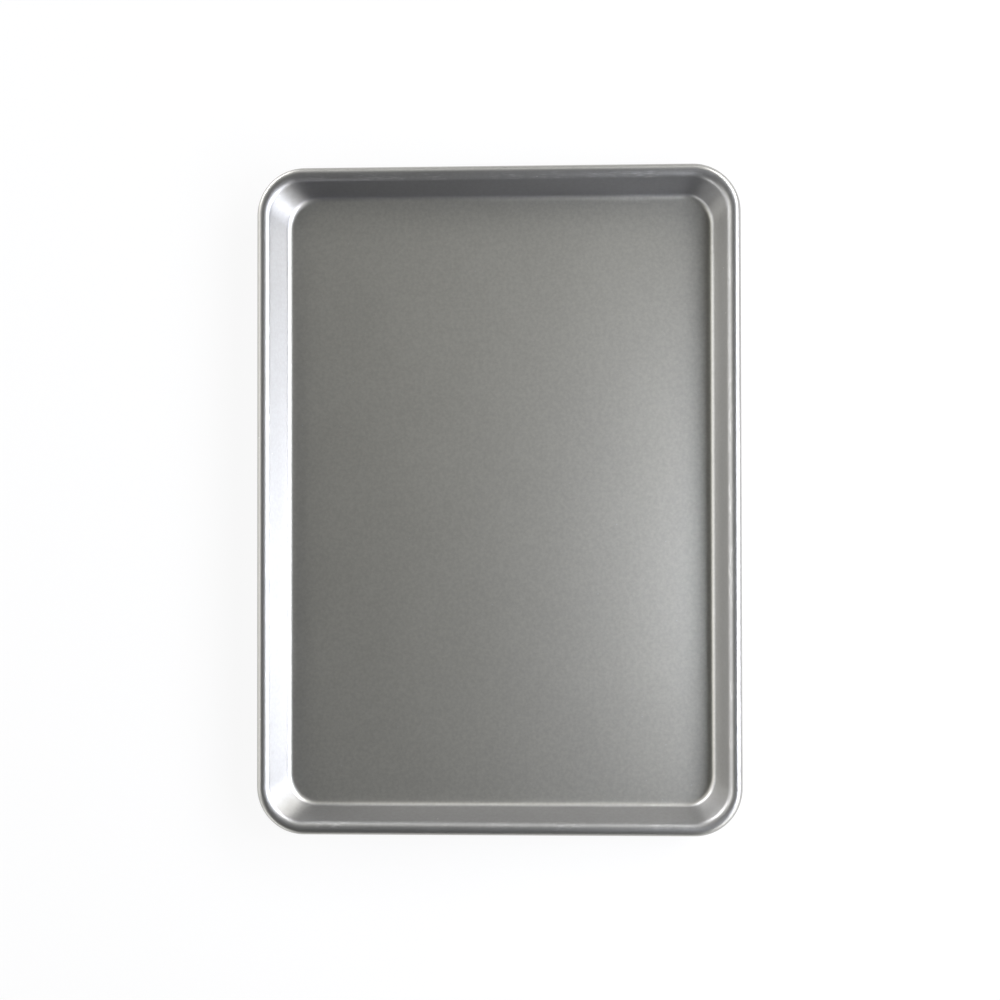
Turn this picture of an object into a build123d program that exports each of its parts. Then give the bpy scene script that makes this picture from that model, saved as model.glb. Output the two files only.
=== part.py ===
from build123d import *
import os
from math import radians, sin, tan

# Jelly roll pan, in millimetres. One drawn sheet of metal makes the flat floor, the four flared
# walls and the rim, which turns out over a small shoulder and curls round and under a steel wire.
# The pan stands on its floor at Z 0, centred on the Z axis, with its long side along Y.

# Overall sizes, over the outside of the rim
rim_length = 455.0
rim_width = 330.0
pan_height = 25.4
rim_corner_radius = 32.5

# The sheet, and the tray that is drawn from it
sheet = 0.8
wall_slope = 66.5  # degrees up from the floor, on the straight sides
floor_bend_radius = 5.0  # on the inside, where the floor turns up into the walls
floor_corner_radius = 21.5  # seen from above, where the walls would meet the floor
shoulder_radius = 6.1  # on the top, where the walls turn out to the rim
shoulder_flat = 0.2  # level strip between the shoulder and the curl

# The wire in the rim, and the curl round it
wire_diameter = 5.6
wire_clearance = 0.2  # all round the wire, inside the curl
wire_end_gap = 1.0  # between the wire's two cut ends
curl_start = 90.0  # degrees, straight up from the wire, where the curl leaves the rim's top
curl_turn = 275.0  # degrees that the sheet turns round the wire from there

# How far the tool that hollows the tray runs up past the rim
overrun = 5.0

# The curl, worked out from the wire that it is rolled round
wire_radius = wire_diameter / 2
curl_inside_radius = wire_radius + wire_clearance
curl_radius = curl_inside_radius + sheet
curl_height = pan_height - curl_radius

# Where the walls' inside would meet the top of the rim, drawn in from the rim's outline
shoulder_setback = shoulder_radius * tan(radians(wall_slope) / 2)
shoulder_inset = curl_radius + shoulder_flat + shoulder_setback
shoulder_corner_radius = rim_corner_radius - shoulder_inset

# How the walls change from there down to the floor
wall_depth = pan_height - sheet
wall_run_per_depth = 1 / tan(radians(wall_slope))
wall_across = sheet / sin(radians(wall_slope))
corner_change_per_depth = (floor_corner_radius - shoulder_corner_radius) / wall_depth


def rim_outline(inset, corner_radius, height):
    """A level face, as large as the rim's outline drawn in by the inset."""
    outline = RectangleRounded(rim_width - 2 * inset, rim_length - 2 * inset, corner_radius)
    return Pos(0, 0, height) * outline


def wall_section(height, outwards):
    """A level face that ends at the walls' inside, or that far outwards from it."""
    depth = pan_height - height
    inset = shoulder_inset + depth * wall_run_per_depth - outwards
    corner_radius = shoulder_corner_radius + depth * corner_change_per_depth + outwards
    return rim_outline(inset, corner_radius, height)


def walled_block(bottom, top, outwards, bend_radius):
    """A solid between two heights with the walls' slope, rounded where it meets its floor."""
    block = loft([wall_section(bottom, outwards), wall_section(top, outwards)], ruled=True)
    floor_edges = block.edges().filter_by_position(Axis.Z, bottom, bottom)
    return fillet(floor_edges, bend_radius)


def make_tray():
    """The floor, the walls and the shoulder, out to the top of the curl."""
    outside = walled_block(0, pan_height, wall_across, floor_bend_radius + sheet)
    ledge_face = rim_outline(curl_radius, rim_corner_radius - curl_radius, pan_height)
    ledge = extrude(ledge_face, -sheet)
    block = outside + ledge
    block = fillet(new_edges(outside, ledge, combined=block), shoulder_radius - sheet)

    inside = walled_block(sheet, pan_height + overrun, 0, floor_bend_radius)
    tray = block - inside
    return fillet(new_edges(block, inside, combined=tray), shoulder_radius)


def square_to(path):
    """The plane across a level path's start: its X points out of the pan and its Y up."""
    along = path % 0
    outwards = along.cross(Vector(0, 0, 1))
    return Plane(origin=path @ 0, x_dir=outwards, z_dir=-along)


def make_curl():
    """The sheet rolled outwards, down and back up round the wire, all round the rim."""
    path = rim_outline(curl_radius, rim_corner_radius - curl_radius, curl_height).wire()
    outer = CenterArc((0, 0), curl_radius, curl_start, -curl_turn)
    inner = CenterArc((0, 0), curl_inside_radius, curl_start, -curl_turn)
    section = make_face([outer, Line(outer @ 1, inner @ 1), inner, Line(inner @ 0, outer @ 0)])
    return sweep(square_to(path) * section, path)


def make_wire():
    """The rim's wire, bent at the corners, its ends facing halfway along one long side."""
    x = rim_width / 2 - curl_radius
    y = rim_length / 2 - curl_radius
    half_gap = wire_end_gap / 2
    corners = [(x, half_gap), (x, y), (-x, y), (-x, -y), (x, -y), (x, -half_gap)]
    bends = FilletPolyline(*corners, radius=rim_corner_radius - curl_radius)
    path = Pos(0, 0, curl_height) * bends
    return sweep(square_to(path) * Circle(wire_radius), path)


pan = make_tray() + make_curl()
rim_wire = make_wire()

os.makedirs("parts", exist_ok=True)
export_step(pan, "parts/pan.step")
export_step(rim_wire, "parts/rim_wire.step")
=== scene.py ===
import math

import bpy
from mathutils import Matrix, Vector


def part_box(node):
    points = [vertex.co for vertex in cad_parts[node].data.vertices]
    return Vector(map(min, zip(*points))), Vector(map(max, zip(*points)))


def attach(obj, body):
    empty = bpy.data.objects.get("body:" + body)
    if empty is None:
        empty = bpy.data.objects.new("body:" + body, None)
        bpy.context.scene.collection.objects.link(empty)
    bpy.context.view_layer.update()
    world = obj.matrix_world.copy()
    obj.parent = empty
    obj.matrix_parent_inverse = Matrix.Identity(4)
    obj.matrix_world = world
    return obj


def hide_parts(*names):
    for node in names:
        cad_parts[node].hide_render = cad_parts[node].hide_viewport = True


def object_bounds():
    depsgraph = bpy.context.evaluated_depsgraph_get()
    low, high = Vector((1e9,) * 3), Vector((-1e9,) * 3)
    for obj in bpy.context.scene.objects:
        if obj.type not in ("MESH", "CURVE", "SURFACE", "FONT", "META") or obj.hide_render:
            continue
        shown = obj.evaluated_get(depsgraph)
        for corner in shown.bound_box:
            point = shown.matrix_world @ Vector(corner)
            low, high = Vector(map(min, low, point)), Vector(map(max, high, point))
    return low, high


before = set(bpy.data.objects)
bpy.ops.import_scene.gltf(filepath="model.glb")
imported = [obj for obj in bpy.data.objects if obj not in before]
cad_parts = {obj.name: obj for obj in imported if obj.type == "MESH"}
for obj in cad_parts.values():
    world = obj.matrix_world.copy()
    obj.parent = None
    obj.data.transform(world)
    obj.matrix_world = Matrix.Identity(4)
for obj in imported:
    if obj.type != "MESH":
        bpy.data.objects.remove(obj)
cadLow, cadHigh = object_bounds()
cadSize = cadHigh - cadLow
mm = 0.001
print("frame loaded")


# Fills a node's inputs: a node or a socket is linked, and any other value is set.
def fillInputs(tree, node, inputs):
    for key, value in inputs.items():
        if isinstance(value, bpy.types.Node):
            value = value.outputs[0]
        if isinstance(value, bpy.types.NodeSocket):
            tree.links.new(value, node.inputs[key])
        else:
            node.inputs[key].default_value = value


def addNode(tree, kind, settings=None, inputs=None):
    node = tree.nodes.new(kind)
    for name, value in (settings or {}).items():
        setattr(node, name, value)
    fillInputs(tree, node, inputs or {})
    return node


# The colour of an sRGB hex value, turned to linear light
def hexColour(value):
    parts = [int(value[i:i + 2], 16) / 255 for i in (1, 3, 5)]
    linear = [c / 12.92 if c <= 0.04045 else ((c + 0.055) / 1.055) ** 2.4 for c in parts]
    return (*linear, 1.0)


def newMaterial(name):
    material = bpy.data.materials.new(name)
    material.use_nodes = True
    material.node_tree.nodes.clear()
    return material, material.node_tree


# The pan's sheet: a band of rounded outlines that follow one profile, from the middle of the
# floor out to the end of the curl. Sizes are millimetres, on the sheet's faces.
panSizes = {
    "sheet": 0.8,
    "cornerRadius": 32.5,
    "wallSlope": 66.5,
    "floorBend": 5.0,
    "floorCorner": 21.5,
    "shoulderBend": 6.1,
    "shoulderFlat": 0.2,
    "curlRadius": 3.8,
    "curlLap": 5.0,  # degrees that the curl's end turns up past the wire's height
    "floorRings": 5.0,  # outlines between the floor's middle and its margin
    "floorBendSteps": 10,
    "rimBendSteps": 8,  # in the shoulder, and in each quarter of the curl
    "cornerSteps": 24,
    "sideSteps": 30.0,
    "wallPoints": (0.2, 0.8),  # shares of the wall's height where a point keeps it straight
    "sharpAngle": 35.0,  # degrees, and edges that turn more than that are shaded sharp
    "mergeGap": 0.001,
    "placeMap": "sheetPlace",
}


# The middle of the sheet's thickness, worked out from the sizes on its faces
def sheetMiddle(sizes):
    low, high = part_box("pan")
    half = sizes["sheet"] / 2
    slope = math.radians(sizes["wallSlope"])
    curlRadius = sizes["curlRadius"] - half
    floorBend = sizes["floorBend"] + half
    shoulderBend = sizes["shoulderBend"] - half
    floorHeight = low.z / mm + half
    topHeight = high.z / mm - half
    topInset = sizes["curlRadius"] + sizes["shoulderFlat"] + shoulderBend * math.tan(slope / 2)
    floorInset = topInset + (topHeight - floorHeight) / math.tan(slope)
    insideInset = floorInset + half * math.tan(slope / 2)
    cornerEase = sizes["floorCorner"] - (sizes["cornerRadius"] - insideInset)
    curlMiddle = topHeight - curlRadius
    return {
        "Rim Width": (high.x - low.x) / mm,
        "Rim Length": (high.y - low.y) / mm,
        "Middle Inset": (high.x - low.x) / mm / 2,
        "Corner Radius": sizes["cornerRadius"],
        "Corner Ease": cornerEase,
        "Floor Height": floorHeight,
        "Floor Inset": floorInset,
        "Floor Margin": floorInset + floorBend,
        "Floor Bend": floorBend,
        "Top Height": topHeight,
        "Top Inset": topInset,
        "Shoulder Bend": shoulderBend,
        "Curl Radius": curlRadius,
        "Curl Outer Inset": sizes["curlRadius"] - curlRadius,
        "Curl Inner Inset": sizes["curlRadius"] + curlRadius,
        "Curl Bottom": curlMiddle - curlRadius,
        "Curl End": curlMiddle + curlRadius * math.sin(math.radians(sizes["curlLap"])),
    }


# Where each stretch of the sheet begins, across it from the floor's margin outwards
def sheetStretches(sizes):
    middle = sheetMiddle(sizes)
    slope = math.radians(sizes["wallSlope"])
    cutBack = math.tan(slope / 2)  # how far a bend starts before its corner, for a radius of 1
    bends = middle["Floor Bend"] + middle["Shoulder Bend"]
    rise = middle["Top Height"] - middle["Floor Height"]
    bend = middle["Floor Bend"] * (1 - cutBack)
    wall = bend + middle["Floor Bend"] * slope
    shoulder = wall + rise / math.sin(slope) - bends * cutBack
    top = shoulder + middle["Shoulder Bend"] * slope
    curl = top + sizes["shoulderFlat"]
    return {"bend": bend, "wall": wall, "shoulder": shoulder, "top": top, "curl": curl}


def buildSheetTree(sizes, inputNames):
    tree = bpy.data.node_groups.new("rolledSheet", "GeometryNodeTree")
    tree.interface.new_socket(name="Mesh", in_out="OUTPUT", socket_type="NodeSocketGeometry")
    for name in inputNames:
        tree.interface.new_socket(name=name, in_out="INPUT", socket_type="NodeSocketFloat")
    tree.interface.new_socket(name="Finish", in_out="INPUT", socket_type="NodeSocketMaterial")
    given = addNode(tree, "NodeGroupInput").outputs
    index = addNode(tree, "GeometryNodeInputIndex")
    position = addNode(tree, "GeometryNodeInputPosition")
    alongCurve = addNode(tree, "GeometryNodeSplineParameter").outputs

    # The profile's corners: X is the distance in from the rim's outline, Y is how much wider the
    # pan's corners turn than that outline drawn in would, and Z is the height
    floorMiddle = addNode(tree, "ShaderNodeCombineXYZ", None, {
        0: given["Middle Inset"], 1: given["Corner Ease"], 2: given["Floor Height"]})
    floorMargin = addNode(tree, "ShaderNodeCombineXYZ", None, {
        0: given["Floor Margin"], 1: given["Corner Ease"], 2: given["Floor Height"]})
    floorCorner = addNode(tree, "ShaderNodeCombineXYZ", None, {
        0: given["Floor Inset"], 1: given["Corner Ease"], 2: given["Floor Height"]})
    topCorner = addNode(tree, "ShaderNodeCombineXYZ", None, {
        0: given["Top Inset"], 2: given["Top Height"]})
    curlCorners = [
        addNode(tree, "ShaderNodeCombineXYZ", None, {0: given[inset], 2: given[height]})
        for inset, height in (("Curl Outer Inset", "Top Height"), ("Curl Outer Inset", "Curl Bottom"),
                              ("Curl Inner Inset", "Curl Bottom"), ("Curl Inner Inset", "Curl End"))]
    # Two points that keep the wall straight between its bends
    wall = addNode(tree, "ShaderNodeVectorMath", {"operation": "SUBTRACT"}, {
        0: topCorner, 1: floorCorner})
    wallLow, wallHigh = [
        addNode(tree, "ShaderNodeVectorMath", {"operation": "MULTIPLY_ADD"}, {
            0: wall, 1: (share, share, share), 2: floorCorner})
        for share in sizes["wallPoints"]]

    corners = [floorMiddle, floorMargin, floorCorner, wallLow, wallHigh, topCorner, *curlCorners]
    curl = given["Curl Radius"]
    bends = [0.0, 0.0, given["Floor Bend"], 0.0, 0.0, given["Shoulder Bend"], curl, curl, curl, 0.0]
    steps = [1, 1, sizes["floorBendSteps"], 1, 1, *[sizes["rimBendSteps"]] * 4, 1]
    chosen = {}
    for kind, values in (("VECTOR", corners), ("FLOAT", bends), ("INT", steps)):
        chosen[kind] = addNode(tree, "GeometryNodeIndexSwitch", {"data_type": kind})
        for _ in values[2:]:
            chosen[kind].index_switch_items.new()
        fillInputs(tree, chosen[kind], {0: index, **{i + 1: value for i, value in enumerate(values)}})
    line = addNode(tree, "GeometryNodeCurvePrimitiveLine")
    line = addNode(tree, "GeometryNodeResampleCurve", None, {"Curve": line, "Count": len(corners)})
    line = addNode(tree, "GeometryNodeSetPosition", None, {
        "Geometry": line, "Position": chosen["VECTOR"]})
    profile = addNode(tree, "GeometryNodeFilletCurve", {"mode": "POLY"}, {
        "Curve": line, "Count": chosen["INT"], "Radius": chosen["FLOAT"]})
    isMiddle = addNode(tree, "ShaderNodeMath", {"operation": "COMPARE"}, {0: index, 1: 0.0, 2: 0.5})
    rings = addNode(tree, "ShaderNodeMath", {"operation": "MULTIPLY"}, {
        0: isMiddle, 1: sizes["floorRings"]})
    profile = addNode(tree, "GeometryNodeSubdivideCurve", None, {"Curve": profile, "Cuts": rings})

    # The rim's outline from above, with steps round its corners and along its sides
    outline = addNode(tree, "GeometryNodeCurvePrimitiveQuadrilateral", None, {
        "Width": given["Rim Width"], "Height": given["Rim Length"]})
    outline = addNode(tree, "GeometryNodeFilletCurve", {"mode": "POLY"}, {
        "Curve": outline, "Count": sizes["cornerSteps"], "Radius": given["Corner Radius"]})
    inCorner = addNode(tree, "ShaderNodeMath", {"operation": "FLOORED_MODULO"}, {
        0: index, 1: sizes["cornerSteps"] + 1.0})
    startsSide = addNode(tree, "ShaderNodeMath", {"operation": "COMPARE"}, {
        0: inCorner, 1: float(sizes["cornerSteps"]), 2: 0.5})
    cuts = addNode(tree, "ShaderNodeMath", {"operation": "MULTIPLY"}, {
        0: startsSide, 1: sizes["sideSteps"]})
    outline = addNode(tree, "GeometryNodeSubdivideCurve", None, {"Curve": outline, "Cuts": cuts})

    # A grid with a row for each point of the profile and a column for each point of the outline,
    # and one column more, which closes the band and is merged with the first
    rowCount = addNode(tree, "GeometryNodeAttributeDomainSize", {"component": "CURVE"}, {0: profile})
    outlineCount = addNode(tree, "GeometryNodeAttributeDomainSize", {"component": "CURVE"}, {0: outline})
    columnCount = addNode(tree, "FunctionNodeIntegerMath", {"operation": "ADD"}, {0: outlineCount, 1: 1})
    grid = addNode(tree, "GeometryNodeMeshGrid", None, {
        "Vertices X": rowCount, "Vertices Y": columnCount})
    row = addNode(tree, "FunctionNodeIntegerMath", {"operation": "DIVIDE_FLOOR"}, {
        0: index, 1: columnCount})
    column = addNode(tree, "FunctionNodeIntegerMath", {"operation": "MODULO"}, {
        0: index, 1: columnCount})
    outlineIndex = addNode(tree, "FunctionNodeIntegerMath", {"operation": "MODULO"}, {
        0: column, 1: outlineCount})
    inProfile = addNode(tree, "GeometryNodeSampleIndex", {"data_type": "FLOAT_VECTOR"}, {
        "Geometry": profile, "Value": position, "Index": row})
    onOutline = addNode(tree, "GeometryNodeSampleIndex", {"data_type": "FLOAT_VECTOR"}, {
        "Geometry": outline, "Value": position, "Index": outlineIndex})

    # Each outline point is a corner's centre and a way out from it, and both change down the profile
    profileParts = addNode(tree, "ShaderNodeSeparateXYZ", None, {0: inProfile}).outputs
    inset, ease, height = profileParts[0], profileParts[1], profileParts[2]
    radius = given["Corner Radius"]
    halfSize = addNode(tree, "ShaderNodeCombineXYZ", None, {
        0: given["Rim Width"], 1: given["Rim Length"]})
    radiusBoth = addNode(tree, "ShaderNodeCombineXYZ", None, {0: radius, 1: radius})
    easeBoth = addNode(tree, "ShaderNodeCombineXYZ", None, {0: ease, 1: ease})
    halfSize = addNode(tree, "ShaderNodeVectorMath", {"operation": "SCALE"}, {
        "Vector": halfSize, "Scale": 0.5})
    reach = addNode(tree, "ShaderNodeVectorMath", {"operation": "SUBTRACT"}, {
        0: halfSize, 1: radiusBoth})
    reachBack = addNode(tree, "ShaderNodeVectorMath", {"operation": "SCALE"}, {
        "Vector": reach, "Scale": -1.0})
    centre = addNode(tree, "ShaderNodeVectorMath", {"operation": "MINIMUM"}, {0: onOutline, 1: reach})
    centre = addNode(tree, "ShaderNodeVectorMath", {"operation": "MAXIMUM"}, {0: centre, 1: reachBack})
    wayOut = addNode(tree, "ShaderNodeVectorMath", {"operation": "SUBTRACT"}, {0: onOutline, 1: centre})
    wayOut = addNode(tree, "ShaderNodeVectorMath", {"operation": "NORMALIZE"}, {0: wayOut})
    easedReach = addNode(tree, "ShaderNodeVectorMath", {"operation": "SUBTRACT"}, {
        0: reach, 1: easeBoth})
    easedShare = addNode(tree, "ShaderNodeVectorMath", {"operation": "DIVIDE"}, {
        0: easedReach, 1: reach})
    centre = addNode(tree, "ShaderNodeVectorMath", {"operation": "MULTIPLY"}, {0: centre, 1: easedShare})
    edgeInset = addNode(tree, "ShaderNodeMath", {"operation": "MINIMUM"}, {
        0: inset, 1: given["Floor Margin"]})
    turn = addNode(tree, "ShaderNodeMath", {"operation": "SUBTRACT"}, {0: radius, 1: edgeInset})
    turn = addNode(tree, "ShaderNodeMath", {"operation": "ADD"}, {0: turn, 1: ease})
    arm = addNode(tree, "ShaderNodeVectorMath", {"operation": "SCALE"}, {
        "Vector": wayOut, "Scale": turn})
    level = addNode(tree, "ShaderNodeVectorMath", {"operation": "ADD"}, {0: centre, 1: arm})
    # On the floor the last outline shrinks to the middle
    toMiddle = addNode(tree, "ShaderNodeMath", {"operation": "SUBTRACT"}, {
        0: given["Middle Inset"], 1: inset})
    fromEdge = addNode(tree, "ShaderNodeMath", {"operation": "SUBTRACT"}, {
        0: given["Middle Inset"], 1: edgeInset})
    shrink = addNode(tree, "ShaderNodeMath", {"operation": "DIVIDE"}, {0: toMiddle, 1: fromEdge})
    level = addNode(tree, "ShaderNodeVectorMath", {"operation": "SCALE"}, {
        "Vector": level, "Scale": shrink})
    lift = addNode(tree, "ShaderNodeCombineXYZ", None, {2: height})
    placed = addNode(tree, "ShaderNodeVectorMath", {"operation": "ADD"}, {0: level, 1: lift})
    placed = addNode(tree, "ShaderNodeVectorMath", {"operation": "SCALE"}, {
        "Vector": placed, "Scale": mm})
    mesh = addNode(tree, "GeometryNodeSetPosition", None, {"Geometry": grid, "Position": placed})

    # A map for the finish: X is millimetres round the rim, Y is millimetres across the sheet from
    # the floor's margin outwards, and Z is the share of the way from the floor's middle to the
    # curl's end. It is kept on the face corners, so that the band's join doesn't blur it.
    roundRim = addNode(tree, "GeometryNodeSampleIndex", {"data_type": "FLOAT"}, {
        "Geometry": outline, "Value": alongCurve["Length"], "Index": outlineIndex})
    laps = addNode(tree, "FunctionNodeIntegerMath", {"operation": "DIVIDE_FLOOR"}, {
        0: column, 1: outlineCount})
    rimLength = addNode(tree, "GeometryNodeCurveLength", None, {0: outline})
    roundRim = addNode(tree, "ShaderNodeMath", {"operation": "MULTIPLY_ADD"}, {
        0: laps, 1: rimLength, 2: roundRim})
    acrossSheet = addNode(tree, "GeometryNodeSampleIndex", {"data_type": "FLOAT"}, {
        "Geometry": profile, "Value": alongCurve["Length"], "Index": row})
    floorRun = addNode(tree, "ShaderNodeMath", {"operation": "SUBTRACT"}, {
        0: given["Middle Inset"], 1: given["Floor Margin"]})
    acrossSheet = addNode(tree, "ShaderNodeMath", {"operation": "SUBTRACT"}, {
        0: acrossSheet, 1: floorRun})
    share = addNode(tree, "GeometryNodeSampleIndex", {"data_type": "FLOAT"}, {
        "Geometry": profile, "Value": alongCurve["Factor"], "Index": row})
    place = addNode(tree, "ShaderNodeCombineXYZ", None, {0: roundRim, 1: acrossSheet, 2: share})
    mesh = addNode(tree, "GeometryNodeStoreNamedAttribute", {"data_type": "FLOAT_VECTOR"}, {
        "Geometry": mesh, "Name": "pointPlace", "Value": place})
    kept = addNode(tree, "GeometryNodeInputNamedAttribute", {"data_type": "FLOAT_VECTOR"}, {
        "Name": "pointPlace"})
    perCorner = {"data_type": "FLOAT_VECTOR", "domain": "CORNER"}
    mesh = addNode(tree, "GeometryNodeStoreNamedAttribute", perCorner, {
        "Geometry": mesh, "Name": sizes["placeMap"], "Value": kept})
    mesh = addNode(tree, "GeometryNodeRemoveAttribute", None, {"Geometry": mesh, "Name": "pointPlace"})

    mesh = addNode(tree, "GeometryNodeMergeByDistance", None, {
        "Geometry": mesh, "Distance": sizes["mergeGap"] * mm})
    mesh = addNode(tree, "GeometryNodeSetShadeSmooth", None, {"Geometry": mesh, "Shade Smooth": True})
    mesh = addNode(tree, "GeometryNodeRealizeInstances", None, {"Geometry": mesh})
    mesh = addNode(tree, "GeometryNodeSetMaterial", None, {
        "Geometry": mesh, "Material": given["Finish"]})
    addNode(tree, "NodeGroupOutput", None, {0: mesh})
    return tree


def makePan(finish):
    middle = sheetMiddle(panSizes)
    tree = buildSheetTree(panSizes, list(middle))
    maker = bpy.data.objects.new("panMaker", bpy.data.meshes.new("panMaker"))
    bpy.context.scene.collection.objects.link(maker)
    shape = maker.modifiers.new("sheet", "NODES")
    shape.node_group = tree
    for socket in tree.interface.items_tree:
        if socket.name in middle:
            shape[socket.identifier] = middle[socket.name]
        elif socket.name == "Finish":
            shape[socket.identifier] = finish
    thickness = maker.modifiers.new("thickness", "SOLIDIFY")
    thickness.thickness = panSizes["sheet"] * mm
    thickness.offset = 0.0
    thickness.use_even_offset = True
    thickness.use_rim = True

    evaluated = maker.evaluated_get(bpy.context.evaluated_depsgraph_get())
    mesh = bpy.data.meshes.new_from_object(evaluated)
    bpy.data.objects.remove(maker)
    mesh.name = "drawnPan"
    mesh.set_sharp_from_angle(angle=math.radians(panSizes["sharpAngle"]))
    pan = bpy.data.objects.new("drawnPan", mesh)
    bpy.context.scene.collection.objects.link(pan)
    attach(pan, "root")
    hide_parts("pan")
    return pan


# Aluminised steel: mild steel sheet dipped in molten aluminium, cold rolled, then drawn to shape.
# To the eye it is a soft, slightly warm grey metal. It blurs what it mirrors, with a fine, even
# speckle, and it shows where the rolls and the drawing tools rubbed it. Sizes are millimetres, and
# a noise's span is the part of its values that makes the whole change.
sheetLook = {
    "rolledTones": ("#d6d4c9", "#e2e0d5"),  # duller and brighter grains, as the mill left them
    "wallShadeTones": ("#9f9fa2", "#a5a5a9"),  # on the walls, darker than the floor: painted shade that holds down how bright the lit walls look
    "curledTones": ("#b1b0ac", "#b7b6b2"),  # from the shoulder on, darker than the floor
    "toneSpan": (0.3, 0.7),
    # Pale colour for the rubbed scuffs and rack marks, and for the flecks' painted glints
    "rubbedAndGlintTone": "#f0f0ee",
    "rubbedSmoother": 0.06,
    "bareSteel": "#7d7a76",
    "cutEdge": 0.9995,  # share of the way across the sheet where its cut edge starts
    "rolledRoughness": 0.42,  # on the floor, as the sheet left the mill
    "drawnRoughness": 0.38,  # on the walls, which slid through the die
    "curledRoughness": 0.42,  # on the shoulder and the curl
    "roughnessDrift": 0.003,
    "grain": 2.3,  # the real coating's grains are near 0.3 mm, too fine to show
    "grainHeight": 0.0011,
    "grainDetail": (1.5, 0.6),  # detail and roughness of its noise
    "cloud": 45.0,
    "cloudDetail": (3.0, 0.55),
    "cloudShare": 0.1,  # how strong the clouds are beside the grain
    "rollLine": 0.9,
    "rollLength": 60.0,
    "rollHeight": 0.0005,
    # The flecks are painted glints: pale spots in the colour
    "fleckSpacing": 14.0,
    "fleckSize": 0.5,
    "fleckGlintShare": 0.8,
    "drawMark": 0.9,
    "drawLength": 16.0,
    "drawHeight": 0.0025,
    "drawLead": 10.0,  # how far before a corner, along the sides, its draw marks start
    "scuff": 0.9,
    "scuffLength": 7.0,
    "scuffSpan": (0.45, 0.75),
    "scuffShare": 0.6,
    "scuffPatch": 24.0,
    "scuffPatchSpan": (0.45, 0.62),
    "scuffDrop": 3.7,  # how far the scuffs reach down the shoulder
    "curlLine": 0.7,
    "curlHeight": 0.0012,
    "rackMark": 0.9,
    "rackLength": 90.0,
    "rackSpan": (0.62, 0.72),
    "rackShare": 0.6,
    "rackWander": 0.3,
    "crownHeight": 3.0,  # at the floor's middle
    "softEdge": 2.0,  # how far a worked area fades out
}


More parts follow.
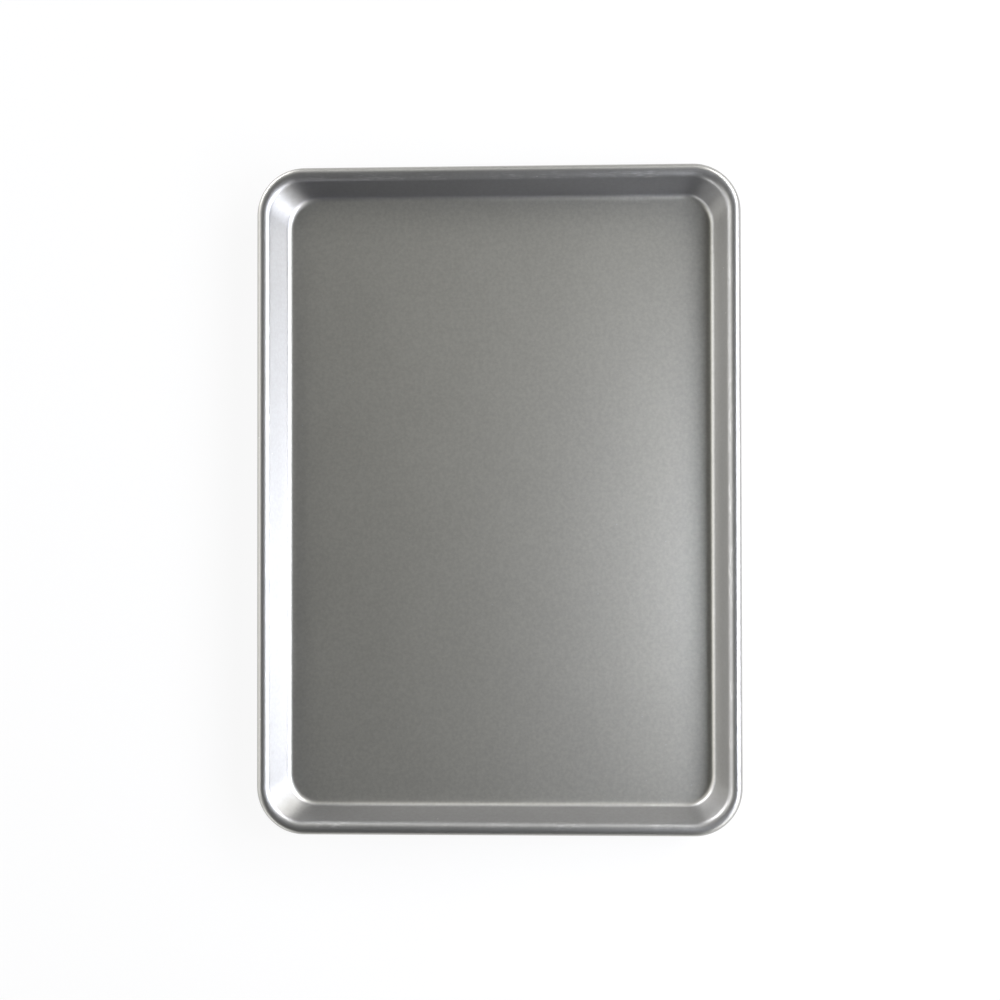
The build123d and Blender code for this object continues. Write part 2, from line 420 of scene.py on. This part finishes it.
def makeAluminisedSteel():
    material, tree = newMaterial("matteAluminisedSteel")
    look = sheetLook
    soft = look["softEdge"]
    starts = sheetStretches(panSizes)

    # Places in millimetres: in the pan's own space, and on the sheet round the rim and across it
    inSpace = addNode(tree, "ShaderNodeTexCoord").outputs["Object"]
    inSpace = addNode(tree, "ShaderNodeVectorMath", {"operation": "SCALE"}, {
        "Vector": inSpace, "Scale": 1 / mm})
    onSheet = addNode(tree, "ShaderNodeAttribute", {"attribute_name": panSizes["placeMap"]})
    onSheet = onSheet.outputs["Vector"]
    sheetParts = addNode(tree, "ShaderNodeSeparateXYZ", None, {0: onSheet}).outputs
    acrossSheet, share = sheetParts[1], sheetParts[2]

    # The coating's speckle, and wide, faint clouds where it set a little brighter or duller
    grain, cloud = [
        addNode(tree, "ShaderNodeTexNoise", None, {
            "Vector": inSpace, "Scale": 1 / look[size], "Detail": look[detail][0],
            "Roughness": look[detail][1]})
        for size, detail in (("grain", "grainDetail"), ("cloud", "cloudDetail"))]

    # Here and there a larger grain, with a painted glint: a pale fleck in the colour
    toFleck = addNode(tree, "ShaderNodeTexVoronoi", None, {
        "Vector": inSpace, "Scale": 1 / look["fleckSpacing"]})
    fleckReach = look["fleckSize"] / look["fleckSpacing"]
    glintFleck = addNode(tree, "ShaderNodeMapRange", None, {
        "Value": toFleck, "From Min": fleckReach, "From Max": fleckReach / 2,
        "To Max": look["fleckGlintShare"]})

    # Faint lines from the mill's rolls, along the pan
    rollSpace = addNode(tree, "ShaderNodeVectorMath", {"operation": "MULTIPLY"}, {
        0: inSpace, 1: (1 / look["rollLine"], 1 / look["rollLength"], 1 / look["rollLine"])})
    rollLines = addNode(tree, "ShaderNodeTexNoise", None, {"Vector": rollSpace, "Scale": 1.0})

    # Draw marks, which run up the walls where the sheet was squeezed round the corners
    cornerSpan = addNode(tree, "ShaderNodeVectorMath", {"operation": "ABSOLUTE"}, {0: inSpace})
    cornerStart = [size / 2 - panSizes["cornerRadius"] for size in (cadSize.x / mm, cadSize.y / mm)]
    cornerSpan = addNode(tree, "ShaderNodeVectorMath", {"operation": "SUBTRACT"}, {
        0: cornerSpan, 1: (*cornerStart, 0.0)})
    spanParts = addNode(tree, "ShaderNodeSeparateXYZ", None, {0: cornerSpan}).outputs
    cornerSpan = addNode(tree, "ShaderNodeMath", {"operation": "MINIMUM"}, {
        0: spanParts[0], 1: spanParts[1]})
    inCorner = addNode(tree, "ShaderNodeMapRange", {"interpolation_type": "SMOOTHSTEP"}, {
        "Value": cornerSpan, "From Min": -look["drawLead"], "From Max": soft})
    drawStart = addNode(tree, "ShaderNodeMapRange", {"interpolation_type": "SMOOTHSTEP"}, {
        "Value": acrossSheet, "From Min": starts["bend"] - soft, "From Max": starts["bend"]})
    drawEnd = addNode(tree, "ShaderNodeMapRange", {"interpolation_type": "SMOOTHSTEP"}, {
        "Value": acrossSheet, "From Min": starts["top"], "From Max": starts["top"] - soft})
    drawReach = addNode(tree, "ShaderNodeMath", {"operation": "MULTIPLY"}, {0: drawStart, 1: drawEnd})
    drawReach = addNode(tree, "ShaderNodeMath", {"operation": "MULTIPLY"}, {0: drawReach, 1: inCorner})
    drawSpace = addNode(tree, "ShaderNodeVectorMath", {"operation": "MULTIPLY"}, {
        0: onSheet, 1: (1 / look["drawMark"], 1 / look["drawLength"], 0.0)})
    drawMarks = addNode(tree, "ShaderNodeTexNoise", None, {"Vector": drawSpace, "Scale": 1.0})
    drawMarks = addNode(tree, "ShaderNodeMath", {"operation": "MULTIPLY"}, {0: drawMarks, 1: drawReach})

    # Short scuffs along the rim's top, in patches, where pans are stacked
    scuffStart = addNode(tree, "ShaderNodeMapRange", {"interpolation_type": "SMOOTHSTEP"}, {
        "Value": acrossSheet, "From Min": starts["top"] - look["scuffDrop"] - soft,
        "From Max": starts["top"] - look["scuffDrop"]})
    scuffEnd = addNode(tree, "ShaderNodeMapRange", {"interpolation_type": "SMOOTHSTEP"}, {
        "Value": acrossSheet, "From Min": starts["curl"] + soft / 2,
        "From Max": starts["curl"] - soft / 2})
    patch = addNode(tree, "ShaderNodeTexNoise", None, {
        "Vector": inSpace, "Scale": 1 / look["scuffPatch"]})
    patch = addNode(tree, "ShaderNodeMapRange", None, {
        "Value": patch, "From Min": look["scuffPatchSpan"][0], "From Max": look["scuffPatchSpan"][1]})
    scuffSpace = addNode(tree, "ShaderNodeVectorMath", {"operation": "MULTIPLY"}, {
        0: onSheet, 1: (1 / look["scuffLength"], 1 / look["scuff"], 0.0)})
    scuffs = addNode(tree, "ShaderNodeTexNoise", None, {"Vector": scuffSpace, "Scale": 1.0})
    scuffs = addNode(tree, "ShaderNodeMapRange", None, {
        "Value": scuffs, "From Min": look["scuffSpan"][0], "From Max": look["scuffSpan"][1],
        "To Max": look["scuffShare"]})
    for limit in (patch, scuffStart, scuffEnd):
        scuffs = addNode(tree, "ShaderNodeMath", {"operation": "MULTIPLY"}, {0: scuffs, 1: limit})

    # Lines that the curling rolls pressed into the rim, all the way round
    curlSpace = addNode(tree, "ShaderNodeVectorMath", {"operation": "MULTIPLY"}, {
        0: onSheet, 1: (1 / look["rollLength"], 1 / look["curlLine"], 0.0)})
    curlLines = addNode(tree, "ShaderNodeTexNoise", None, {"Vector": curlSpace, "Scale": 1.0})
    onCurl = addNode(tree, "ShaderNodeMapRange", {"interpolation_type": "SMOOTHSTEP"}, {
        "Value": acrossSheet, "From Min": starts["curl"] - soft, "From Max": starts["curl"]})
    curlLines = addNode(tree, "ShaderNodeMath", {"operation": "MULTIPLY"}, {0: curlLines, 1: onCurl})

    # Long rubbed streaks on the underside of the floor, from the oven's racks
    heightInSpace = addNode(tree, "ShaderNodeSeparateXYZ", None, {0: inSpace}).outputs[2]
    underneath = addNode(tree, "ShaderNodeMapRange", None, {
        "Value": heightInSpace, "From Min": panSizes["sheet"] / 2, "From Max": panSizes["sheet"] / 4})
    rackSpace = addNode(tree, "ShaderNodeVectorMath", {"operation": "MULTIPLY"}, {
        0: inSpace, 1: (1 / look["rackMark"], 1 / look["rackLength"], 0.0)})
    rackMarks = addNode(tree, "ShaderNodeTexNoise", None, {
        "Vector": rackSpace, "Scale": 1.0, "Distortion": look["rackWander"]})
    rackMarks = addNode(tree, "ShaderNodeMapRange", None, {
        "Value": rackMarks, "From Min": look["rackSpan"][0], "From Max": look["rackSpan"][1],
        "To Max": look["rackShare"]})
    rackMarks = addNode(tree, "ShaderNodeMath", {"operation": "MULTIPLY"}, {0: rackMarks, 1: underneath})

    # The crown that drawing leaves in the floor. The CAD's floor is flat, so the crown isn't a
    # shape here, and only bends what the floor mirrors
    middle = sheetMiddle(panSizes)
    floorHalf = [middle[size] / 2 - middle["Floor Margin"] for size in ("Rim Width", "Rim Length")]
    fromMiddle = addNode(tree, "ShaderNodeVectorMath", {"operation": "DIVIDE"}, {
        0: inSpace, 1: (*floorHalf, 1.0)})
    fromMiddle = addNode(tree, "ShaderNodeVectorMath", {"operation": "MULTIPLY"}, {
        0: fromMiddle, 1: fromMiddle})
    crown = addNode(tree, "ShaderNodeVectorMath", {"operation": "SUBTRACT"}, {
        0: (1.0, 1.0, 1.0), 1: fromMiddle})
    crown = addNode(tree, "ShaderNodeVectorMath", {"operation": "MAXIMUM"}, {
        0: crown, 1: (0.0, 0.0, 0.0)})
    crownParts = addNode(tree, "ShaderNodeSeparateXYZ", None, {0: crown}).outputs
    crown = addNode(tree, "ShaderNodeMath", {"operation": "MULTIPLY"}, {
        0: crownParts[0], 1: crownParts[1]})
    onTop = addNode(tree, "ShaderNodeMath", {"operation": "SUBTRACT"}, {0: 1.0, 1: underneath})
    crown = addNode(tree, "ShaderNodeMath", {"operation": "MULTIPLY"}, {0: crown, 1: onTop})

    # How far the tools worked the sheet: over the floor's bend, and then over the shoulder's. In the
    # colour the first share also lays on the walls' painted shade.
    drawn, curled = [addNode(tree, "ShaderNodeMapRange", {"interpolation_type": "SMOOTHSTEP"}, {
        "Value": acrossSheet, "From Min": starts[first], "From Max": starts[last]})
        for first, last in (("bend", "wall"), ("shoulder", "top"))]

    # The colour: the speckled coating, with painted shade that darkens the walls, darker from the
    # shoulder on, paler where it is rubbed, painted glints in pale flecks, and bare steel on the cut
    # edge
    shade = addNode(tree, "ShaderNodeMix", {"data_type": "FLOAT"}, {
        0: look["cloudShare"], 2: grain, 3: cloud})
    toneLow, toneHigh = look["toneSpan"]
    shade = addNode(tree, "ShaderNodeMapRange", None, {
        "Value": shade, "From Min": toneLow, "From Max": toneHigh})
    rolledColour, wallShadeColour, curledColour = [addNode(tree, "ShaderNodeMix", {"data_type": "RGBA"}, {
        0: shade, 6: hexColour(look[tones][0]), 7: hexColour(look[tones][1])}).outputs[2]
        for tones in ("rolledTones", "wallShadeTones", "curledTones")]
    # Painted shade: the walls take a darker colour than the floor
    colour = addNode(tree, "ShaderNodeMix", {"data_type": "RGBA"}, {
        0: drawn, 6: rolledColour, 7: wallShadeColour}).outputs[2]
    colour = addNode(tree, "ShaderNodeMix", {"data_type": "RGBA"}, {
        0: curled, 6: colour, 7: curledColour}).outputs[2]
    rubbed = addNode(tree, "ShaderNodeMath", {"operation": "MAXIMUM"}, {0: scuffs, 1: rackMarks})
    rubbedOrGlint = addNode(tree, "ShaderNodeMath", {"operation": "MAXIMUM"}, {0: rubbed, 1: glintFleck})
    # Painted glints: the flecks turn the colour pale, as the rubbed places do
    colour = addNode(tree, "ShaderNodeMix", {"data_type": "RGBA"}, {
        0: rubbedOrGlint, 6: colour, 7: hexColour(look["rubbedAndGlintTone"])}).outputs[2]
    cutEdge = addNode(tree, "ShaderNodeMath", {"operation": "GREATER_THAN"}, {
        0: share, 1: look["cutEdge"]})
    colour = addNode(tree, "ShaderNodeMix", {"data_type": "RGBA"}, {
        0: cutEdge, 6: colour, 7: hexColour(look["bareSteel"])}).outputs[2]

    # The roughness: even on the floor, less on the drawn walls, and a little less where it is rubbed
    roughness = addNode(tree, "ShaderNodeMix", {"data_type": "FLOAT"}, {
        0: drawn, 2: look["rolledRoughness"], 3: look["drawnRoughness"]})
    roughness = addNode(tree, "ShaderNodeMix", {"data_type": "FLOAT"}, {
        0: curled, 2: roughness, 3: look["curledRoughness"]})
    drift = addNode(tree, "ShaderNodeMapRange", None, {
        "Value": cloud, "From Min": toneLow, "From Max": toneHigh,
        "To Min": -look["roughnessDrift"], "To Max": look["roughnessDrift"]})
    roughness = addNode(tree, "ShaderNodeMath", {"operation": "ADD"}, {0: roughness, 1: drift})
    roughness = addNode(tree, "ShaderNodeMath", {"operation": "MULTIPLY_ADD"}, {
        0: rubbed, 1: -look["rubbedSmoother"], 2: roughness})

    # The relief, in millimetres
    relief = addNode(tree, "ShaderNodeMath", {"operation": "MULTIPLY"}, {
        0: grain, 1: look["grainHeight"]})
    for marks, depth in ((rollLines, "rollHeight"), (drawMarks, "drawHeight"), (curlLines, "curlHeight"),
                         (crown, "crownHeight")):
        relief = addNode(tree, "ShaderNodeMath", {"operation": "MULTIPLY_ADD"}, {
            0: marks, 1: look[depth], 2: relief})
    bump = addNode(tree, "ShaderNodeBump", None, {"Height": relief, "Distance": mm})
    surface = addNode(tree, "ShaderNodeBsdfPrincipled", None, {
        "Base Color": colour, "Metallic": 1.0, "Roughness": roughness, "Normal": bump})
    addNode(tree, "ShaderNodeOutputMaterial", None, {"Surface": surface})
    return material


# Drawn steel wire: pulled bright through a die, then left with a thin film of drawing oil. To the
# eye it is darker than the sheet, with fine lines along it and faint brown-grey patches. The pan's
# curl hides all but a strip of it from below. Sizes are millimetres.
wireLook = {
    "brightTone": "#9a9895",
    "filmTone": "#77736d",
    "smoothest": 0.32,
    "roughest": 0.48,
    "dieLine": 0.35,
    "dieDetail": 3.0,
    "dieHeight": 0.004,
    "filmPatch": 12.0,
    "filmDetail": (4.0, 0.6),  # detail and roughness of its noise
    "filmSpan": (0.4, 0.65),
}


def makeDrawnWire():
    material, tree = newMaterial("drawnSteelWire")
    look = wireLook
    inSpace = addNode(tree, "ShaderNodeTexCoord").outputs["Object"]
    inSpace = addNode(tree, "ShaderNodeVectorMath", {"operation": "SCALE"}, {
        "Vector": inSpace, "Scale": 1 / mm})

    # Distance out from the line of the corners' centres, and height: both keep their values along
    # the wire, round its bends too, so a pattern on them runs as the die's lines do
    cornerStart = [size / 2 - panSizes["cornerRadius"] for size in (cadSize.x / mm, cadSize.y / mm)]
    fromMiddle = addNode(tree, "ShaderNodeVectorMath", {"operation": "ABSOLUTE"}, {0: inSpace})
    fromCentre = addNode(tree, "ShaderNodeVectorMath", {"operation": "SUBTRACT"}, {
        0: fromMiddle, 1: (*cornerStart, 0.0)})
    fromCentre = addNode(tree, "ShaderNodeVectorMath", {"operation": "MAXIMUM"}, {
        0: fromCentre, 1: (0.0, 0.0, 0.0)})
    level = addNode(tree, "ShaderNodeVectorMath", {"operation": "MULTIPLY"}, {
        0: fromCentre, 1: (1.0, 1.0, 0.0)})
    outwards = addNode(tree, "ShaderNodeVectorMath", {"operation": "LENGTH"}, {0: level})
    outwards = outwards.outputs["Value"]
    height = addNode(tree, "ShaderNodeSeparateXYZ", None, {0: fromMiddle}).outputs[2]
    aroundWire = addNode(tree, "ShaderNodeCombineXYZ", None, {0: outwards, 1: height})
    dieLines = addNode(tree, "ShaderNodeTexNoise", None, {
        "Vector": aroundWire, "Scale": 1 / look["dieLine"], "Detail": look["dieDetail"]})

    film = addNode(tree, "ShaderNodeTexNoise", None, {
        "Vector": inSpace, "Scale": 1 / look["filmPatch"], "Detail": look["filmDetail"][0],
        "Roughness": look["filmDetail"][1]})
    film = addNode(tree, "ShaderNodeMapRange", None, {
        "Value": film, "From Min": look["filmSpan"][0], "From Max": look["filmSpan"][1]})
    colour = addNode(tree, "ShaderNodeMix", {"data_type": "RGBA"}, {
        0: film, 6: hexColour(look["brightTone"]), 7: hexColour(look["filmTone"])}).outputs[2]
    roughness = addNode(tree, "ShaderNodeMapRange", None, {
        "Value": film, "To Min": look["smoothest"], "To Max": look["roughest"]})
    relief = addNode(tree, "ShaderNodeMath", {"operation": "MULTIPLY"}, {
        0: dieLines, 1: look["dieHeight"]})
    bump = addNode(tree, "ShaderNodeBump", None, {"Height": relief, "Distance": mm})
    surface = addNode(tree, "ShaderNodeBsdfPrincipled", None, {
        "Base Color": colour, "Metallic": 1.0, "Roughness": roughness, "Normal": bump})
    addNode(tree, "ShaderNodeOutputMaterial", None, {"Surface": surface})
    return material


pan = makePan(makeAluminisedSteel())
print("pan:", len(pan.data.vertices), "points", [round(v / mm, 3) for v in pan.dimensions])

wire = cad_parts["rim_wire"]
wire.data.materials.clear()
wire.data.materials.append(makeDrawnWire())
print("wire finished")


# The studio: a pale floor that keeps the shadow, soft light from boxes, and the camera
studio = {
    "paperTone": "#f0f0f0",
    "floorSize": 24.0,
    "paperGlow": 0.9,  # share of the paper that shows as plain white to the camera and in the metal
    "shadowReach": 0.6,  # metres from the middle where that share starts to rise to the whole
    "paperDrop": 0.2 * mm,  # how far the paper lies under the pan, so that the two don't mix
    "cameraDistance": 2.0,
    "leanRight": 4.2,  # degrees that the camera leans from straight above
    "leanFront": 1.45,
    "turn": 0.19,
    "aimX": -0.24 * mm,
    "aimY": 0.32 * mm,
    "lens": 104.82,  # millimetres, over a sensor of the width below
    "sensor": 36.0,
    "air": 0.005,  # brightness of the dim room round the boxes
    "backdrop": 1.0,  # what the camera sees past the paper
}

# Each box: degrees round from the pan's right, degrees up, metres away, width and height in
# metres, brightness and tint
softBoxes = {
    "keyBox": (-5, 38, 0.7, 0.62, 0.20, 4.06, "#edf1ff"),
    "nearKeyBox": (-12, 32, 0.45, 0.30, 0.14, 9.6, "#edf1ff"),
    "rightBox": (0, 46, 2.0, 1.10, 0.60, 6.5, "#edf1ff"),
    "rightHighBox": (0, 64, 2.0, 0.80, 0.60, 0.48, "#edf1ff"),
    "rightBackBox": (22, 27, 2.0, 1.50, 0.60, 1.95, "#edf1ff"),
    "rightFrontBox": (338, 27, 2.0, 1.50, 0.60, 2.4, "#edf1ff"),
    "backKeyBox": (45, 27, 2.0, 1.50, 0.60, 9.8, "#ffffff"),
    "backLowBox": (90, 27, 2.0, 1.50, 0.60, 1.07, "#ffffff"),
    "backBox": (90, 46, 2.0, 1.10, 0.60, 0.68, "#ffffff"),
    "backLeftBox": (135, 46, 2.0, 1.10, 0.60, 0.49, "#ffffff"),
    "backLeftStrip": (135, 10, 2.0, 1.60, 0.28, 17.0, "#ffffff"),
    "leftBox": (180, 30, 2.0, 1.40, 1.10, 1.78, "#ffffff"),
    "leftHighBox": (180, 46, 2.0, 1.10, 0.60, 0.47, "#ffffff"),
    "leftStrip": (180, 9, 2.0, 1.50, 0.45, 1.9, "#ffffff"),
    "frontLeftStrip": (225, 9, 2.0, 1.50, 0.45, 3.45, "#ffffff"),
    "frontRightBox": (315, 27, 2.0, 1.50, 0.60, 3.15, "#ffffff"),
    "frontRightHighBox": (315, 64, 2.0, 0.80, 0.60, 0.12, "#ffffff"),
    "frontRightStrip": (315, 9, 2.0, 1.50, 0.45, 2.3, "#ffffff"),
}


def makeFloor():
    half = studio["floorSize"] / 2
    mesh = bpy.data.meshes.new("studioFloor")
    drop = -studio["paperDrop"]
    corners = [(-half, -half, drop), (half, -half, drop), (half, half, drop), (-half, half, drop)]
    mesh.from_pydata(corners, [], [(0, 1, 2, 3)])
    floor = bpy.data.objects.new("studioFloor", mesh)
    bpy.context.scene.collection.objects.link(floor)
    material, tree = newMaterial("whitePaper")
    paper = addNode(tree, "ShaderNodeBsdfDiffuse", None, {"Color": hexColour(studio["paperTone"])})
    glow = addNode(tree, "ShaderNodeEmission", None, {"Color": (1, 1, 1, 1), "Strength": 1.0})
    path = addNode(tree, "ShaderNodeLightPath").outputs
    seen = addNode(tree, "ShaderNodeMath", {"operation": "MAXIMUM"}, {
        0: path["Is Camera Ray"], 1: path["Is Glossy Ray"]})
    seen = addNode(tree, "ShaderNodeMath", {"operation": "MAXIMUM"}, {
        0: seen, 1: path["Is Transmission Ray"]})
    place = addNode(tree, "ShaderNodeTexCoord").outputs["Object"]
    fromPan = addNode(tree, "ShaderNodeVectorMath", {"operation": "LENGTH"}, {0: place}).outputs["Value"]
    glowShare = addNode(tree, "ShaderNodeMapRange", {"interpolation_type": "SMOOTHSTEP"}, {
        "Value": fromPan, "From Min": studio["shadowReach"], "From Max": 2 * studio["shadowReach"],
        "To Min": studio["paperGlow"], "To Max": 1.0})
    part = addNode(tree, "ShaderNodeMath", {"operation": "MULTIPLY"}, {0: seen, 1: glowShare})
    mixed = addNode(tree, "ShaderNodeMixShader", None, {0: part, 1: paper, 2: glow})
    # From below the paper can't be seen, so that the pan's underside can
    below = addNode(tree, "ShaderNodeNewGeometry").outputs["Backfacing"]
    clear = addNode(tree, "ShaderNodeBsdfTransparent")
    mixed = addNode(tree, "ShaderNodeMixShader", None, {0: below, 1: mixed, 2: clear})
    addNode(tree, "ShaderNodeOutputMaterial", None, {"Surface": mixed})
    mesh.materials.append(material)


def makeCamera():
    data = bpy.data.cameras.new("camera")
    data.lens = studio["lens"]
    data.sensor_width = studio["sensor"]
    camera = bpy.data.objects.new("camera", data)
    bpy.context.scene.collection.objects.link(camera)
    turned = (Matrix.Rotation(math.radians(studio["turn"]), 4, "Z")
              @ Matrix.Rotation(math.radians(-studio["leanRight"]), 4, "Y")
              @ Matrix.Rotation(math.radians(-studio["leanFront"]), 4, "X"))
    aim = Matrix.Translation((studio["aimX"], studio["aimY"], 0))
    away = Matrix.Translation((0, 0, studio["cameraDistance"]))
    camera.matrix_world = aim @ turned.transposed() @ away
    bpy.context.scene.camera = camera


def makeBox(name, azimuth, elevation, distance, width, height, brightness, tint):
    data = bpy.data.lights.new(name, "AREA")
    data.shape = "RECTANGLE"
    data.size = width
    data.size_y = height
    data.energy = brightness * math.pi * width * height
    data.color = hexColour(tint)[:3]
    lamp = bpy.data.objects.new(name, data)
    lamp.visible_camera = False
    bpy.context.scene.collection.objects.link(lamp)
    turned = (Matrix.Rotation(math.radians(azimuth + 90), 4, "Z")
              @ Matrix.Rotation(math.radians(90 - elevation), 4, "X"))
    lamp.matrix_world = turned @ Matrix.Translation((0, 0, distance))


makeFloor()
makeCamera()
for name, box in softBoxes.items():
    makeBox(name, *box)
print("studio ready")

world = bpy.data.worlds.new("studioAir")
bpy.context.scene.world = world
world.use_nodes = True
world.node_tree.nodes.clear()
seenPast = addNode(world.node_tree, "ShaderNodeLightPath").outputs["Is Camera Ray"]
airOrBackdrop = addNode(world.node_tree, "ShaderNodeMapRange", None, {
    "Value": seenPast, "To Min": studio["air"], "To Max": studio["backdrop"]})
air = addNode(world.node_tree, "ShaderNodeBackground", None, {
    "Color": (1, 1, 1, 1), "Strength": airOrBackdrop})
addNode(world.node_tree, "ShaderNodeOutputWorld", None, {"Surface": air})

bpy.context.scene.view_settings.view_transform = "Standard"
